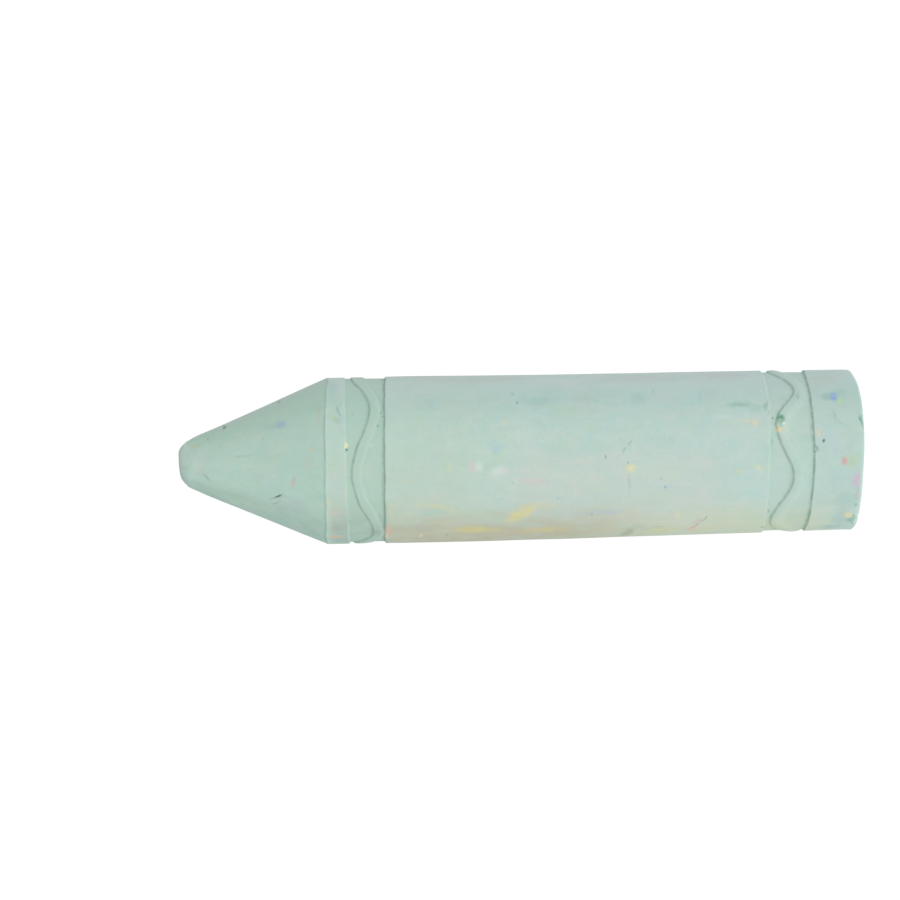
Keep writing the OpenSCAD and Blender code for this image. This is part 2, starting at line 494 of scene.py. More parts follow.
# -------------------------------------------------------------- material
class Tree:
    """Short names for building a node tree."""

    def __init__(self, material):
        material.use_nodes = True
        self.nodes, self.links = material.node_tree.nodes, material.node_tree.links
        self.nodes.clear()

    def put(self, node, sockets):
        for key, value in sockets.items():
            socket = node.inputs[key]
            if isinstance(value, bpy.types.NodeSocket):
                self.links.new(value, socket)
            elif value is not None:
                socket.default_value = value

    def node(self, kind, sockets=None, **props):
        n = self.nodes.new(kind)
        for key, value in props.items():
            setattr(n, key, value)
        self.put(n, sockets or {})
        return n

    def math(self, op, a, b=None, c=None, clamp=False):
        n = self.node("ShaderNodeMath", operation=op, use_clamp=clamp)
        self.put(n, {i: v for i, v in enumerate((a, b, c)) if v is not None})
        return n.outputs[0]

    def vec(self, op, a, b=None, scale=None):
        n = self.node("ShaderNodeVectorMath", operation=op)
        self.put(n, {0: a})
        if b is not None:
            self.put(n, {1: b})
        if scale is not None:
            n.inputs["Scale"].default_value = scale
        return n.outputs["Value" if op in ("LENGTH", "DOT_PRODUCT", "DISTANCE") else "Vector"]

    def noise(self, at, scale, detail=2.0, rough=0.5, distortion=0.0, colour=False):
        n = self.node("ShaderNodeTexNoise", {"Vector": at, "Scale": scale, "Detail": detail,
                                             "Roughness": rough, "Distortion": distortion})
        return n.outputs["Color" if colour else "Fac"]

    def ramp(self, value, a, b, to_a=0.0, to_b=1.0, smooth_step=True):
        n = self.node("ShaderNodeMapRange",
                      interpolation_type="SMOOTHSTEP" if smooth_step else "LINEAR",
                      clamp=not smooth_step)
        self.put(n, {"Value": value, "From Min": a, "From Max": b, "To Min": to_a, "To Max": to_b})
        return n.outputs["Result"]

    def mix(self, factor, a, b, blend="MIX"):
        n = self.node("ShaderNodeMix", data_type="RGBA", blend_type=blend, clamp_factor=True)
        self.put(n, {0: factor, 6: a, 7: b})
        return n.outputs[2]

    def ellipse(self, at, centre, half, turn):
        """Distance from the centre of a turned ellipse, 1 on its edge. Every link here joins sockets of one type, because Cycles holds each converted value until all are done, and runs out of room."""
        (w, l), a = half, math.radians(turn)
        if not turn:
            n = self.node("ShaderNodeVectorMath", {
                0: at, 1: (1 / w, 1 / l, 0.0), 2: (-centre[0] / w, -centre[1] / l, 0.0)},
                operation="MULTIPLY_ADD")
            return self.vec("LENGTH", n.outputs["Vector"])
        across = (math.cos(a) / w, math.sin(a) / w, 0.0)
        along = (-math.sin(a) / l, math.cos(a) / l, 0.0)
        both = self.node("ShaderNodeCombineXYZ", {
            0: self.vec("DOT_PRODUCT", at, across), 1: self.vec("DOT_PRODUCT", at, along)}).outputs[0]
        middle = [centre[0] * v[0] + centre[1] * v[1] for v in (across, along)]
        return self.vec("DISTANCE", both, (*middle, 0.0))

    def stretch(self, at, scale, offset=(0, 0, 0)):
        n = self.node("ShaderNodeMapping", {"Vector": at, "Scale": scale, "Location": offset})
        return n.outputs["Vector"]


# Broad washes of tone, some of them painted light, shade and reflection. Degrees round the stick and heights between
# which a wash comes in and goes out, colour, strength.
WASHES = [
    # painted light and shade on the upper side, turned away from the key light: a darker, bluer strip and paler grey
    # towards the outline; also a darker butt collar in front
    ((20, 45, 95, 130), (-1, 0, 80, 82), (168, 203, 204), 0.28),
    ((40, 66, 110, 140), (-1, 0, 80, 82), (210, 222, 222), 0.58),
    ((20, 45, 100, 130), (80, 82, 102, 105), (152, 194, 180), 0.24),
    ((52, 76, 110, 140), (80, 82, 98, 103), (208, 216, 216), 0.44),
    ((-60, -35, 60, 90), (-1, 0, 7.2, 8), (162, 196, 188), 0.20),
    # painted warm reflection low on the barrel; greener towards the tip
    ((-80, -40, -12, 14), (16, 26, 50, 60), (212, 209, 198), 0.36),
    ((-75, -40, -10, 20), (54, 62, 80.8, 82), (192, 202, 180), 0.34),
    ((-30, 0, 70, 100), (48, 64, 80.8, 82), (184, 212, 190), 0.24),
    ((-90, -50, 60, 100), (80, 82, 101, 104), (176, 220, 192), 0.26),
    # painted shadow, grey, low on the tip end
    ((-140, -110, -50, -25), (80, 82, 102, 105), (136, 172, 158), 0.30),
    ((-130, -110, -56, -22), (71.5, 72.5, 80, 81.5), (134, 150, 134), 0.46),
    # yellow and pink along the low side: powder rubbed off, and painted warm reflection
    ((-122, -84, -66, -24), (24, 46, 71.6, 72.4), (188, 180, 150), 0.70),
    ((-122, -84, -62, -26), (0.5, 9, 22, 48), (224, 216, 172), 0.40),
    # bluer towards the butt
    ((-60, -30, 60, 100), (-1, 0, 12, 45), (192, 214, 214), 0.20),
    # patches on the far side
    ((100, 130, 165, 190), (20, 32, 50, 64), (198, 208, 204), 0.30),
    ((-180, -160, -130, -110), (52, 60, 70, 78), (178, 208, 206), 0.28),
]

# Smears of colour rubbed off other sticks, darker or paler patches, and a few patches of painted shade low on the tip
# band and the cone.
# Degrees round the stick, height, half size along the stick, half size
# round it, turn, colour, strength.
SMEARS_AND_SHADE = [
    (-5.3, 59.32, 0.63, 0.9, 0, (224, 198, 202), 0.62), (-5.9, 58.17, 0.6, 0.9, 0, (216, 230, 224), 0.55),
    (-9, 55.26, 1.36, 0.76, 0, (216, 228, 222), 0.5), (8.9, 55.02, 1.05, 0.6, 0, (180, 212, 214), 0.4),
    (-16.3, 50.22, 2.41, 0.56, -9, (220, 196, 200), 0.52), (-33.3, 65.63, 2.72, 0.53, -7, (216, 212, 166), 0.5),
    (-36.5, 62.7, 1.39, 0.43, -23, (212, 210, 170), 0.36), (-39.1, 65.47, 2.26, 0.54, 3, (164, 204, 194), 0.4),
    (-42.1, 51.99, 2.46, 1.11, 38, (222, 214, 140), 0.72), (-38.3, 50.64, 2.54, 0.54, 31, (222, 216, 156), 0.4),
    (-36.1, 47.93, 2.11, 0.63, 0, (206, 212, 176), 0.34), (-46.2, 53.35, 0.66, 1.21, -42, (214, 208, 158), 0.4),
    (-57.7, 59.41, 2.57, 1, 0, (218, 208, 136), 0.72), (-57.8, 61.96, 1.81, 0.84, 0, (206, 196, 160), 0.4),
    (-59.9, 56.34, 2.11, 0.77, 0, (214, 204, 146), 0.5), (-61.2, 48.29, 3.93, 0.93, 4, (216, 202, 146), 0.52),
    (-66.1, 52.82, 2.72, 0.88, 0, (196, 186, 162), 0.45), (-47.3, 64.23, 2.11, 0.66, 0, (206, 200, 176), 0.3),
    (-54.2, 67.27, 1.81, 1.02, 0, (186, 190, 186), 0.3), (-57.4, 72.1, 0.45, 1.65, 0, (232, 186, 160), 0.75),
    (-65.1, 72.33, 0.3, 1.23, 0, (232, 214, 178), 0.6), (-36.9, 71.74, 0.45, 1.48, 0, (212, 206, 170), 0.45),
    (-49.1, 70.89, 0.45, 1.13, 0, (196, 204, 180), 0.3), (3.1, 72.15, 0.33, 1.34, 0, (202, 212, 196), 0.35),
    (-8.4, 35, 0.9, 0.3, 0, (230, 222, 172), 0.4), (-18.3, 35.61, 0.24, 1.43, 2, (178, 200, 196), 0.4),
    (-42.9, 39.16, 3.16, 0.62, 1, (184, 192, 214), 0.42), (-44.6, 43, 2.11, 0.55, 0, (184, 200, 212), 0.3),
    (-23.5, 29.89, 1.05, 0.36, 0, (172, 200, 222), 0.35), (-47.2, 28.29, 0.45, 1.11, 0, (220, 222, 188), 0.45),
    (-50.7, 29.11, 1.05, 0.95, 0, (208, 206, 190), 0.3), (-68.1, 30.42, 2.74, 1.04, 9, (208, 212, 150), 0.6),
    (-66.4, 24.66, 2.73, 1.05, 0, (214, 206, 168), 0.46), (-70.9, 35.61, 0.84, 2.1, -16, (140, 164, 140), 0.5),
    (-60.7, 33.86, 1.21, 0.92, 0, (186, 194, 168), 0.4), (-66, 26.11, 0.53, 1.12, 0, (230, 178, 178), 0.42),
    (-56.2, 25.26, 0.56, 1.09, -23, (206, 180, 190), 0.4), (24.6, 54.16, 0.4, 0.9, -18, (214, 216, 182), 0.5),
    (41.6, 48.63, 2.57, 0.9, 0, (164, 198, 188), 0.42), (16.2, 51.44, 2.11, 1.09, 11, (202, 222, 214), 0.36),
    (41.8, 33.79, 1.21, 1.31, 0, (164, 200, 192), 0.45), (25.7, 21.21, 1.21, 0.37, 0, (206, 226, 222), 0.5),
    (20.4, 21.28, 0.9, 0.39, 0, (204, 214, 180), 0.42), (43.8, 22.74, 1.36, 1.47, 0, (192, 204, 202), 0.36),
    (42.3, 41.94, 1.66, 1.02, 0, (178, 198, 184), 0.34), (29.7, 44.04, 1.21, 1.38, 0, (182, 208, 184), 0.3),
    (19.5, 41.28, 1.05, 0.96, 0, (192, 212, 186), 0.28), (39.6, 65.8, 2.11, 1.16, 0, (172, 202, 202), 0.34),
    (51.7, 68.61, 0.45, 1.68, 0, (184, 210, 200), 0.35), (85.6, 66.68, 6.04, 1.78, 0, (196, 190, 186), 0.45),
    (71.5, 58.34, 9.05, 1.65, 3, (194, 196, 190), 0.36), (67.8, 33.23, 6.94, 1.99, 0, (192, 196, 196), 0.36),
    (70.9, 20.98, 4.53, 1.85, 0, (194, 196, 194), 0.36), (37.6, 78.65, 0.27, 1.49, 0, (188, 218, 208), 0.55),
    (59.3, 80.12, 0.9, 2.61, 0, (164, 198, 196), 0.42), (-28.3, 80.89, 0.3, 1.01, 0, (222, 206, 170), 0.62),
    (-37.3, 80.13, 0.9, 0.93, 0, (208, 196, 178), 0.42), (-64.8, 80.12, 1.21, 0.62, 0, (214, 184, 150), 0.7),
    (36.2, 82.16, 0.45, 1.71, 0, (196, 192, 168), 0.34), (-6.8, 75.2, 0.75, 1.79, 0, (196, 210, 206), 0.3),
    # painted shade: the grey patches at -45 and -59 degrees, low on the tip band
    (-16.7, 79.75, 0.75, 2.47, 0, (192, 206, 210), 0.35), (-45.1, 76.76, 1.51, 1.68, 0, (166, 186, 174), 0.28),
    (-58.9, 73.8, 0.9, 1.15, 0, (162, 166, 156), 0.42), (35.5, 87.93, 0.9, 1.03, 0, (164, 178, 214), 0.55),
    (36.7, 89.63, 1.66, 0.9, 0, (168, 190, 196), 0.38), (39.2, 101.17, 0.75, 1.34, 0, (198, 200, 158), 0.55),
    (13.8, 93.42, 1.97, 0.66, 0, (196, 216, 206), 0.55), (22.8, 95.97, 1.65, 0.4, 29, (190, 214, 204), 0.36),
    (8.6, 93.82, 1.36, 0.33, 0, (156, 188, 178), 0.36), (-0.5, 83.89, 0.9, 1.3, 0, (196, 200, 180), 0.28),
    (-14.6, 100.4, 0.68, 2.09, 0, (200, 200, 196), 0.42), (-24.9, 99.58, 0.26, 2, 24, (148, 178, 168), 0.5),
    (-16.4, 86.19, 0.27, 0.96, -9, (222, 176, 168), 0.62), (13.4, 99.56, 2.66, 2.1, 0, (188, 206, 198), 0.36),
    # painted shade: the grey-violet patch at -39 degrees, low on the cone
    (-39.3, 86.86, 2.79, 1.61, 20, (176, 192, 196), 0.34), (4.8, 102.54, 0.9, 6.02, 0, (168, 192, 184), 0.3),
    (-60.9, 83.97, 1.06, 2.31, 41, (158, 182, 168), 0.34), (40.8, 4.22, 0.69, 0.93, 0, (146, 168, 232), 0.85),
    (40.7, 5.2, 0.9, 0.73, 0, (146, 188, 170), 0.55), (44.3, 2.93, 1.25, 1.03, 0, (164, 198, 182), 0.36),
    (25.9, 4.42, 0.24, 1.01, 11, (156, 188, 174), 0.42), (20.1, 0.36, 0.2, 1.06, 13, (110, 176, 146), 0.8),
    (-7.5, 2.04, 1.13, 1.08, 0, (188, 206, 166), 0.5), (-21, 1.12, 0.51, 1.64, 0, (216, 182, 210), 0.62),
    (-22.5, 1.62, 0.75, 1.32, 0, (200, 192, 206), 0.36), (-59.9, 1.59, 0.69, 1.02, -34, (122, 176, 148), 0.66),
    (-58.7, 3.36, 1.21, 2.36, 0, (162, 194, 194), 0.45), (-72.7, 4.4, 1.51, 1.03, 0, (160, 188, 194), 0.55),
    (-38.6, 2.96, 1.36, 2.54, 0, (166, 200, 192), 0.42), (-25.9, 4.61, 0.45, 1.53, 0, (172, 200, 194), 0.36),
    (7.3, 5.65, 1.51, 0.92, 0, (184, 206, 214), 0.4), (-0.6, 4.35, 1.21, 0.92, 0, (186, 200, 212), 0.34),
    (13.5, 3.63, 1.36, 0.47, 0, (204, 212, 206), 0.3), (60.9, 5.24, 2.11, 1.57, 0, (196, 200, 194), 0.4),
    (52.2, 6.98, 1.36, 1.24, 0, (188, 202, 196), 0.3), (23.1, 12.54, 0.54, 0.93, 0, (98, 156, 126), 0.88),
    (14.4, 11.99, 0.57, 0.94, -15, (212, 214, 200), 0.62), (8.6, 11.79, 0.6, 0.92, -19, (204, 218, 210), 0.4),
    (35.1, 18.51, 1.96, 0.59, 0, (150, 192, 172), 0.62), (32, 16.15, 1.05, 0.9, 0, (158, 198, 180), 0.4),
    (33.9, 14.64, 0.4, 1.12, -14, (142, 186, 164), 0.62), (-11.7, 14.88, 0.9, 0.62, 0, (202, 214, 184), 0.4),
    (-68.7, 12.43, 2.11, 1.47, 0, (196, 206, 170), 0.42),
    # far side, made up in the same manner
    (118, 64, 1.6, 0.6, 14, (226, 218, 158), 0.45), (126, 52, 2.4, 0.6, -8, (226, 190, 190), 0.36),
    (165, 40, 3, 0.8, 6, (226, 218, 158), 0.42), (-170, 29.2, 1.4, 0.9, -20, (226, 190, 190), 0.42),
    (-150, 66, 2.2, 0.8, 10, (232, 206, 160), 0.4), (-128, 56, 3.2, 0.8, -5, (226, 218, 158), 0.42),
    (-118, 24.2, 2, 0.9, 12, (226, 190, 190), 0.36), (-105, 40, 5, 1.6, 0, (222, 212, 156), 0.4),
    (-100, 62, 5, 1.8, 0, (214, 190, 176), 0.36), (-162, 3.3, 1.2, 0.7, 0, (232, 206, 160), 0.42),
    (128, 80, 0.9, 1.2, 0, (232, 206, 160), 0.38), (-145, 86, 1.6, 1, 10, (226, 218, 158), 0.34),
    (160, 90, 2, 0.9, -10, (206, 224, 214), 0.36), (-120, 96, 1, 1.2, 0, (226, 190, 190), 0.3),
    (100, 44, 3, 0.7, -6, (150, 194, 176), 0.34), (-160, 52, 2.4, 0.6, 8, (150, 194, 176), 0.34),
    (142, 36, 6, 2.2, 4, (202, 220, 214), 0.34), (178, 72, 4, 1.6, -6, (196, 206, 202), 0.34),
    (-140, 14, 2.2, 1.4, 20, (164, 200, 190), 0.36), (108, 30, 5, 1.8, 0, (184, 202, 204), 0.34),
    (-176, 8.5, 2.2, 1.2, 0, (190, 206, 200), 0.34), (136, 12, 1.6, 1.8, 0, (166, 200, 186), 0.4),
    (-135, 76, 1.4, 3, 0, (192, 208, 206), 0.32), (120, 92, 3.2, 1.2, -14, (188, 210, 200), 0.36),
    (-168, 86, 2.6, 1.4, 12, (160, 190, 182), 0.34),
]

# The same, for spots with a crisp edge
SPOTS = [
    (-9, 54.66, 0.75, 0.61, 0, (220, 206, 206), 0.3), (5.5, 55.64, 0.83, 0.75, 0, (160, 198, 212), 0.36),
    (-6.1, 62.75, 0.45, 0.75, 0, (212, 214, 176), 0.3), (-64.6, 67.08, 0.27, 0.66, 0, (246, 214, 190), 0.63),
    (-9.1, 35.42, 0.78, 0.76, 0, (238, 226, 160), 0.46), (41.2, 24.59, 0.21, 0.8, 0, (168, 196, 190), 0.3),
    (38.8, 66.26, 0.45, 0.57, 0, (186, 214, 214), 0.26), (39.4, 64.44, 0.45, 0.46, 0, (190, 218, 216), 0.26),
    (10.8, 78.12, 0.29, 0.51, 0, (248, 236, 178), 0.68), (30.7, 79.84, 0.78, 0.58, 0, (196, 204, 160), 0.37),
    (28.3, 79.39, 0.78, 0.49, -36, (156, 190, 168), 0.33), (35.9, 79.18, 0.28, 0.89, 18, (150, 186, 178), 0.41),
    (32.4, 76.6, 0.36, 0.79, 0, (184, 214, 208), 0.3), (42.1, 73.38, 0.36, 0.64, 0, (190, 218, 210), 0.37),
    (10.8, 74.31, 0.2, 0.3, 0, (208, 228, 218), 0.44), (8.4, 83.24, 0.48, 0.55, 0, (212, 204, 168), 0.36),
    (36.9, 3.35, 0.51, 0.76, 0, (188, 226, 158), 0.53), (31.7, 2.81, 0.6, 0.43, 0, (190, 190, 208), 0.31),
    (20.1, 3.69, 0.77, 0.21, -30, (168, 196, 182), 0.27), (12.1, 6.86, 0.48, 0.78, 0, (226, 212, 184), 0.46),
    (12.4, 6.57, 0.18, 0.47, 0, (176, 176, 164), 0.26), (-7.7, 3.18, 0.48, 0.68, -14, (232, 140, 150), 0.53),
    (2, 2.38, 0.75, 0.77, 0, (172, 196, 192), 0.27), (-34.5, 1.18, 0.39, 0.84, 0, (204, 178, 186), 0.41),
    (-29.6, 1.02, 0.39, 0.62, 0, (150, 200, 196), 0.37), (-54, 2.17, 0.66, 0.78, 0, (234, 220, 158), 0.63),
    (-50.4, 2.92, 0.6, 0.72, 0, (200, 204, 168), 0.31), (-44.9, 4.68, 0.75, 0.52, 0, (196, 220, 208), 0.25),
    (28.1, 12.81, 0.39, 0.69, 0, (140, 190, 162), 0.44), (19.8, 12.13, 0.26, 0.31, 0, (222, 246, 232), 0.67),
    (17.9, 12.65, 0.36, 0.32, 0, (146, 206, 174), 0.49), (15.6, 12.95, 0.51, 0.47, 0, (250, 222, 168), 0.68),
    (16.3, 13.29, 0.2, 0.41, 0, (208, 174, 130), 0.44), (20.7, 16.44, 0.45, 0.58, 0, (240, 212, 178), 0.53),
    (21.9, 17.65, 0.66, 0.39, 0, (232, 210, 176), 0.43), (28.5, 14.25, 0.24, 0.55, -11, (148, 188, 166), 0.33),
    (7.4, 13.99, 0.26, 0.61, 0, (150, 186, 166), 0.43), (41.7, 9.63, 0.33, 0.73, 0, (140, 176, 168), 0.38),
    (-10.7, 16.17, 0.45, 0.5, 0, (226, 218, 164), 0.44), (-13.4, 18.94, 0.6, 0.53, 0, (222, 214, 170), 0.31),
    (-8.3, 17.43, 0.6, 0.34, 0, (214, 212, 178), 0.27), (-16.9, 16.53, 0.75, 0.48, 0, (206, 204, 200), 0.21),
    (150, 58.5, 0.8, 0.6, 0, (150, 188, 222), 0.45), (-140, 47, 0.7, 0.7, 0, (150, 188, 222), 0.45),
    (110, 20.2, 0.8, 0.6, 0, (238, 224, 160), 0.6), (135, 32.2, 0.8, 0.5, 30, (206, 184, 206), 0.45),
    (158, 4.8, 0.8, 0.8, 0, (146, 170, 226), 0.55), (-125, 5.3, 0.6, 0.8, 0, (226, 160, 160), 0.5),
    (172, 22, 0.4, 0.4, 0, (250, 226, 170), 0.7), (-112, 70, 0.5, 0.4, 0, (232, 206, 160), 0.6),
    (145, 71, 0.4, 0.6, 0, (226, 180, 176), 0.5), (-150, 20, 0.5, 0.5, 0, (190, 222, 170), 0.5),
]

# Painted shade in bubble pits and nicks: dark specks, in the same form
PIT_SHADES = [
    (6.8, 6.22, 0.18, 0.32, -14, (70, 104, 100), 0.85), (1.8, 7.29, 0.2, 0.52, 18, (118, 150, 138), 0.47),
    (-0.6, 7.57, 0.33, 0.14, 0, (130, 160, 148), 0.33), (24.5, 13.72, 0.17, 0.18, 0, (96, 134, 120), 0.6),
    (19.6, 13.38, 0.15, 0.18, 0, (110, 140, 130), 0.36), (-48.3, 14.31, 0.15, 0.43, 0, (128, 166, 148), 0.39),
    (-68, 14.91, 0.26, 0.52, 24, (128, 156, 128), 0.36), (-75.2, 12.91, 0.18, 0.84, 0, (110, 140, 90), 0.33),
    (-54.5, 1.31, 0.17, 0.29, 0, (110, 140, 110), 0.44), (-42.6, 1.18, 0.21, 0.42, 0, (124, 160, 136), 0.39),
    (-65.2, 1.31, 0.2, 0.48, 0, (120, 150, 120), 0.33), (7.8, 78.05, 0.17, 0.19, 0, (70, 122, 84), 0.85),
    (24.4, 73.26, 0.24, 0.26, 0, (116, 156, 138), 0.44), (34.9, 72.74, 0.2, 0.27, 0, (120, 158, 142), 0.39),
    (31.8, 72.49, 0.18, 0.17, 0, (126, 160, 146), 0.33), (34.4, 77.03, 0.2, 0.17, 0, (140, 174, 164), 0.28),
    (12.6, 74.47, 0.14, 0.23, 0, (146, 178, 166), 0.28), (-1, 39.17, 0.14, 0.39, 0, (104, 150, 156), 0.5),
    (-5.4, 35.78, 0.17, 0.29, 20, (132, 160, 160), 0.36), (-17.2, 30.77, 0.26, 0.22, 0, (150, 180, 170), 0.33),
    (-23.3, 30.23, 0.2, 0.23, 0, (104, 158, 172), 0.5), (-44.6, 41.26, 0.18, 0.36, 0, (128, 162, 156), 0.33),
    (-29.8, 46.43, 0.2, 0.22, 0, (156, 182, 180), 0.25), (-17.9, 53.16, 0.18, 0.19, 0, (150, 178, 174), 0.28),
    (49.4, 52.8, 0.26, 0.39, 0, (140, 172, 160), 0.3), (40.7, 52.16, 0.14, 0.38, 0, (104, 148, 132), 0.55),
    (49.1, 31.41, 0.2, 0.5, 0, (150, 184, 176), 0.22), (-64.3, 63.17, 0.21, 0.48, 0, (140, 158, 134), 0.3),
    (-63.2, 46.45, 0.18, 0.4, 0, (150, 160, 140), 0.19), (66.2, 96.79, 0.24, 1.44, 0, (84, 116, 106), 0.65),
    (79, 97.11, 0.19, 1.4, 4, (94, 124, 114), 0.33), (73, 88.33, 0.23, 0.6, 0, (90, 110, 104), 0.39),
    (49.6, 99.34, 0.17, 1.29, -3, (138, 168, 156), 0.3), (25.3, 97.3, 0.12, 0.56, 0, (146, 176, 164), 0.22),
    (25.7, 90.66, 0.12, 0.53, 0, (142, 172, 162), 0.25), (-60, 94.31, 0.15, 0.52, 0, (150, 176, 166), 0.17),
    (10.7, 36.85, 0.18, 0.18, 0, (150, 180, 172), 0.17), (-7.6, 68.3, 0.15, 0.15, 0, (160, 188, 176), 0.19),
    (42.6, 20.79, 0.15, 0.29, 0, (150, 180, 172), 0.19), (-1.7, 26.57, 0.15, 0.15, 0, (160, 190, 184), 0.17),
    (27.4, 7.85, 0.18, 0.31, 0, (150, 184, 170), 0.19), (-14.8, 3.61, 0.18, 0.16, 0, (160, 180, 170), 0.19),
    (120, 47, 0.2, 0.2, 0, (104, 140, 132), 0.8), (137, 69, 0.17, 0.17, 0, (104, 140, 132), 0.7),
    (151, 24.2, 0.22, 0.22, 0, (104, 140, 132), 0.8), (170, 61, 0.18, 0.18, 0, (104, 150, 150), 0.7),
    (-174, 16.8, 0.17, 0.17, 0, (96, 130, 122), 0.8), (-158, 73, 0.2, 0.2, 0, (104, 140, 132), 0.7),
    (-149, 39, 0.18, 0.18, 0, (104, 140, 132), 0.8), (-133, 10.8, 0.17, 0.17, 0, (96, 130, 122), 0.8),
    (-121, 70.5, 0.2, 0.2, 0, (104, 140, 132), 0.6), (-108, 54, 0.17, 0.17, 0, (104, 140, 132), 0.7),
    (105, 12.3, 0.17, 0.17, 0, (96, 130, 122), 0.7), (112, 92, 0.22, 0.22, 0, (104, 140, 132), 0.7),
    (-165, 94, 0.18, 0.18, 0, (104, 140, 132), 0.6), (145, 5.3, 0.17, 0.17, 0, (96, 130, 122), 0.8),
    (-112, 83.5, 0.18, 0.18, 0, (104, 140, 132), 0.7),
]

# Hair scratches, in the same form
SCRATCHES = [
    (7.8, 35.52, 0.63, 0.14, 51, (132, 164, 156), 0.49), (3.3, 36.37, 0.52, 0.18, 53, (138, 170, 162), 0.49),
    (5.8, 35.34, 0.74, 0.09, 67, (150, 178, 172), 0.29), (-33.7, 88.99, 1.47, 0.15, 44, (104, 126, 122), 0.45),
    (-32.3, 88.54, 0.71, 0.2, 46, (72, 96, 92), 0.74), (-40.1, 88.99, 1.06, 0.12, 48, (140, 160, 156), 0.45),
    (-61.8, 25.37, 1.1, 0.17, 58, (150, 150, 146), 0.49), (-53.8, 24.17, 0.89, 0.12, 52, (146, 152, 154), 0.57),
    (-50.9, 23.81, 0.28, 0.17, 38, (132, 140, 144), 0.41), (-61.3, 31.19, 0.84, 0.11, 12, (146, 160, 146), 0.51),
    (-63, 30.11, 0.75, 0.09, -42, (156, 170, 154), 0.37), (-66, 32.88, 0.98, 0.11, 24, (150, 166, 146), 0.33),
    (-19.5, 35.7, 1.21, 0.12, -87, (166, 190, 186), 0.33), (-34, 31.66, 1.26, 0.11, -43, (176, 200, 192), 0.25),
    (38.6, 79.34, 0.77, 0.11, -81, (146, 178, 172), 0.41), (33.2, 79, 0.46, 0.12, -61, (146, 180, 166), 0.37),
    (26.7, 4.23, 0.78, 0.11, -86, (156, 188, 176), 0.33), (19.7, 3.55, 0.76, 0.11, -42, (164, 194, 182), 0.31),
    (-21.6, 99.49, 1.94, 0.09, -67, (146, 174, 166), 0.33), (-11, 43.86, 2.37, 0.12, 18, (202, 220, 212), 0.29),
    (45.3, 24.37, 1.32, 0.11, 79, (166, 196, 192), 0.26), (35.2, 18.13, 1.29, 0.14, -13, (140, 180, 162), 0.33),
    (-6.8, 62.9, 3.31, 0.11, 4, (198, 218, 206), 0.2), (-27.3, 93.5, 2.46, 0.11, 2, (160, 188, 178), 0.2),
    (128, 60, 1.6, 0.12, 35, (140, 168, 158), 0.5), (-155, 33, 1.8, 0.12, -30, (140, 168, 158), 0.5),
    (172, 50, 1.2, 0.12, 60, (140, 168, 158), 0.5), (-122, 43, 1.5, 0.12, 18, (140, 168, 158), 0.5),
    (106, 86.5, 1.3, 0.14, 28, (120, 148, 140), 0.6),
]

mat = bpy.data.materials.new("chalk")
t = Tree(mat)
coord = t.node("ShaderNodeTexCoord").outputs["Object"]
P = t.stretch(coord, (1000.0, 1000.0, 1000.0))  # millimetres
sep = t.node("ShaderNodeSeparateXYZ", {0: P})
x, y, z = sep.outputs
angle = t.math("ARCTAN2", x, t.math("MULTIPLY", y, -1.0))
flat = t.node("ShaderNodeCombineXYZ", {0: t.math("MULTIPLY", angle, 12.6), 1: z}).outputs[0]

# Ragged edges for the marks: the unrolled place is shaken by noise
shake = t.noise(P, 0.9, 3.0, 0.6, colour=True)
shake = t.vec("SCALE", t.vec("SUBTRACT", shake, (0.5, 0.5, 0.5)), scale=1.1)
shake_fine = t.noise(P, 3.5, 2.0, 0.6, colour=True)
shake_fine = t.vec("SCALE", t.vec("SUBTRACT", shake_fine, (0.5, 0.5, 0.5)), scale=0.30)
ragged = t.vec("ADD", t.vec("ADD", flat, shake), shake_fine)

# Body colour: broad drifts of tone, blotches of hue, streaks, powder
drift = t.noise(t.stretch(P, (0.055, 0.055, 0.030)), 1.0, 2.0, 0.5)
colour = t.mix(t.ramp(drift, 0.30, 0.70), srgb(185, 213, 205), srgb(195, 217, 206))
warm = t.noise(t.stretch(P, (0.07, 0.07, 0.05), (5, 9, 2)), 1.0, 2.0, 0.5)
colour = t.mix(t.ramp(warm, 0.52, 0.78, 0.0, 0.45), colour, srgb(200, 214, 203))
for scale, offset, rgb, strength in (
        ((0.26, 0.26, 0.20), (11, 3, 5), (202, 211, 205), 0.48),
        ((0.30, 0.30, 0.22), (2, 17, 9), (180, 212, 209), 0.40),
        ((0.34, 0.34, 0.26), (7, 5, 23), (182, 212, 190), 0.44),
        ((0.62, 0.62, 0.45), (31, 8, 1), (207, 217, 208), 0.34),
        ((0.75, 0.75, 0.55), (4, 29, 13), (174, 206, 198), 0.32)):
    blotch = t.noise(t.stretch(P, scale, offset), 1.0, 3.0, 0.55)
    colour = t.mix(t.ramp(blotch, 0.50, 0.68, 0.0, strength), colour, srgb(*rgb))
streak = t.noise(t.stretch(P, (0.55, 0.55, 0.09), (3, 1, 7)), 1.0, 3.0, 0.55)
colour = t.mix(t.ramp(streak, 0.50, 0.74, 0.0, 0.24), colour, srgb(205, 223, 215))
streak2 = t.noise(t.stretch(P, (0.42, 0.42, 0.12), (13, 4, 17)), 1.0, 3.0, 0.55)
colour = t.mix(t.ramp(streak2, 0.52, 0.76, 0.0, 0.20), colour, srgb(170, 202, 194))
powder = t.noise(P, 2.6, 3.0, 0.6)
colour = t.mix(t.ramp(powder, 0.46, 0.72, 0.0, 0.30), colour, srgb(208, 223, 216))
grain = t.noise(P, 9.0, 2.0, 0.6)
colour = t.mix(t.ramp(grain, 0.52, 0.80, 0.0, 0.22), colour, srgb(172, 198, 188))

